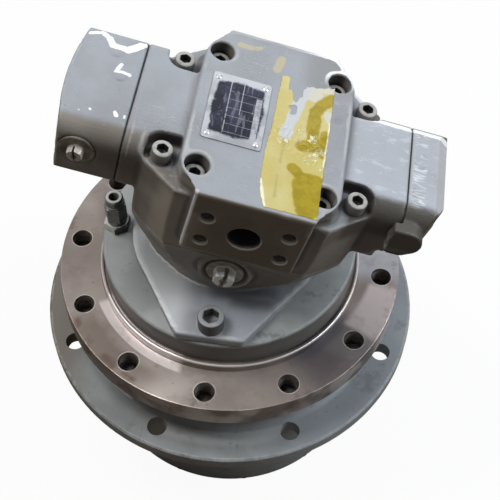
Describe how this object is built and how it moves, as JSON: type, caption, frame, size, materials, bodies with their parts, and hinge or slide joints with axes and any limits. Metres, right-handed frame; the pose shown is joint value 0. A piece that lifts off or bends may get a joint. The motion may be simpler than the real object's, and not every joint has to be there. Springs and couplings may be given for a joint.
{
  "type": "planetary gear motor",
  "caption": "Track or winch drive: a hydraulic bent-axis motor plugged into a two-stage planetary gearbox with a fixed frame flange, a turning drum flange and a parking brake.",
  "frame": {"origin": "centre of the bare frame flange's bolted face, on the gearbox axis", "axes": "+Z along the gearbox axis from the end cover towards the motor, X along the motor head's wings with the head leaning towards +X, -Y towards the picture's front"},
  "size_m": [0.28, 0.28, 0.3494],
  "materials": {
    "motor_casting": "blue-grey spray paint on cast iron, satin, chipped",
    "gearbox_casting": "grey paint on cast iron, stained",
    "frame_steel": "bare machined flange with light rust, painted hub top",
    "painted_screw": "socket screws painted over",
    "bare_plug": "bare grey steel",
    "dark_fitting": "dark worn steel",
    "nameplate": "worn dark plate, left without words",
    "rivet": "bare",
    "rubber": "black",
    "hard_steel": "ground steel",
    "carrier_iron": "machined iron",
    "bronze": "bronze",
    "friction_lining": "sintered lining"
  },
  "bodies": {
    "gearbox_frame": {"frame_hub": "frame_steel", "carrier_2": "carrier_iron", "carrier_2_screws": "hard_steel", "planet_pins_2": "hard_steel", "planet_washers_2": "bronze", "main_bearing_cones": "hard_steel", "face_seal_fixed": "hard_steel", "motor_housing": "motor_casting", "port_plate": "motor_casting", "end_cap_left": "motor_casting", "end_cap_right": "motor_casting", "cap_gaskets": "rubber", "cap_screws": "painted_screw", "head_screws_deep": "painted_screw", "head_screws_pocket": "painted_screw", "flange_screws": "painted_screw", "housing_plug": "bare_plug", "cap_plug": "bare_plug", "union_body": "dark_fitting", "union_nut": "dark_fitting", "nameplate": "nameplate", "nameplate_rivets": "rivet", "flange_o_ring": "rubber", "shaft_bearing_cups": "hard_steel", "shaft_rollers": "hard_steel", "control_lens": "hard_steel", "setting_piston": "hard_steel", "setting_pin": "hard_steel", "brake_outer_discs": "hard_steel", "brake_retainer": "hard_steel", "disc_springs": "hard_steel"},
    "drum": {"drum_housing": "gearbox_casting", "ring_gear": "hard_steel", "end_cover": "gearbox_casting", "end_cover_screws": "painted_screw", "oil_plugs": "bare_plug", "main_bearing_cups": "hard_steel", "main_rollers": "hard_steel", "face_seal_turning": "hard_steel", "thrust_pad": "bronze"},
    "planet_2a_gear": {"planet_2a": "hard_steel"},
    "planet_2b_gear": {"planet_2b": "hard_steel"},
    "planet_2c_gear": {"planet_2c": "hard_steel"},
    "planet_1a_gear": {"planet_1a": "hard_steel"},
    "planet_1b_gear": {"planet_1b": "hard_steel"},
    "planet_1c_gear": {"planet_1c": "hard_steel"},
    "carrier_1_body": {"carrier_1": "carrier_iron", "sun_2": "hard_steel", "planet_pins_1": "hard_steel", "planet_washers_1": "bronze"},
    "input_shaft": {"sun_1_shaft": "hard_steel", "coupling_sleeve": "hard_steel", "motor_shaft": "hard_steel", "shaft_bearing_cones": "hard_steel", "cylinder_block": "bronze", "pistons": "hard_steel", "centre_pin": "hard_steel", "retaining_plate": "hard_steel", "brake_inner_discs": "friction_lining"},
    "brake_piston_body": {"brake_piston": "hard_steel"}
  },
  "joints": [
    {"name": "drum_spin", "type": "hinge", "parent": "gearbox_frame", "child": "drum", "pos_m": [0, 0, 0], "axis": [0, 0, 1], "continuous": true},
    {"name": "planet_2a_spin", "type": "hinge", "parent": "gearbox_frame", "child": "planet_2a_gear", "pos_m": [0.04875, 0, -0.112], "axis": [0, 0, 1], "continuous": true},
    {"name": "planet_2b_spin", "type": "hinge", "parent": "gearbox_frame", "child": "planet_2b_gear", "pos_m": [-0.02438, 0.04222, -0.112], "axis": [0, 0, 1], "continuous": true},
    {"name": "planet_2c_spin", "type": "hinge", "parent": "gearbox_frame", "child": "planet_2c_gear", "pos_m": [-0.02438, -0.04222, -0.112], "axis": [0, 0, 1], "continuous": true},
    {"name": "carrier_1_spin", "type": "hinge", "parent": "gearbox_frame", "child": "carrier_1_body", "pos_m": [0, 0, 0], "axis": [0, 0, 1], "continuous": true},
    {"name": "planet_1a_spin", "type": "hinge", "parent": "carrier_1_body", "child": "planet_1a_gear", "pos_m": [0.045, 0, -0.144], "axis": [0, 0, 1], "continuous": true},
    {"name": "planet_1b_spin", "type": "hinge", "parent": "carrier_1_body", "child": "planet_1b_gear", "pos_m": [-0.0225, 0.03897, -0.144], "axis": [0, 0, 1], "continuous": true},
    {"name": "planet_1c_spin", "type": "hinge", "parent": "carrier_1_body", "child": "planet_1c_gear", "pos_m": [-0.0225, -0.03897, -0.144], "axis": [0, 0, 1], "continuous": true},
    {"name": "shaft_spin", "type": "hinge", "parent": "gearbox_frame", "child": "input_shaft", "pos_m": [0, 0, 0], "axis": [0, 0, 1], "continuous": true},
    {"name": "brake_release", "type": "slide", "parent": "gearbox_frame", "child": "brake_piston_body", "axis": [0, 0, 1], "range_m": [0, 0.0015], "stiffness_N_per_m": 2000, "springref_m": -0.002, "deforming": ["disc_springs"]}
  ],
  "couplings": [
    {"joint": "planet_2a_spin", "follows": "drum_spin", "ratio": 2.8571},
    {"joint": "planet_2b_spin", "follows": "drum_spin", "ratio": 2.8571},
    {"joint": "planet_2c_spin", "follows": "drum_spin", "ratio": 2.8571},
    {"joint": "carrier_1_spin", "follows": "drum_spin", "ratio": -3.3333},
    {"joint": "planet_1a_spin", "follows": "drum_spin", "ratio": 10.833},
    {"joint": "planet_1b_spin", "follows": "drum_spin", "ratio": 10.833},
    {"joint": "planet_1c_spin", "follows": "drum_spin", "ratio": 10.833},
    {"joint": "shaft_spin", "follows": "drum_spin", "ratio": -25}
  ]
}
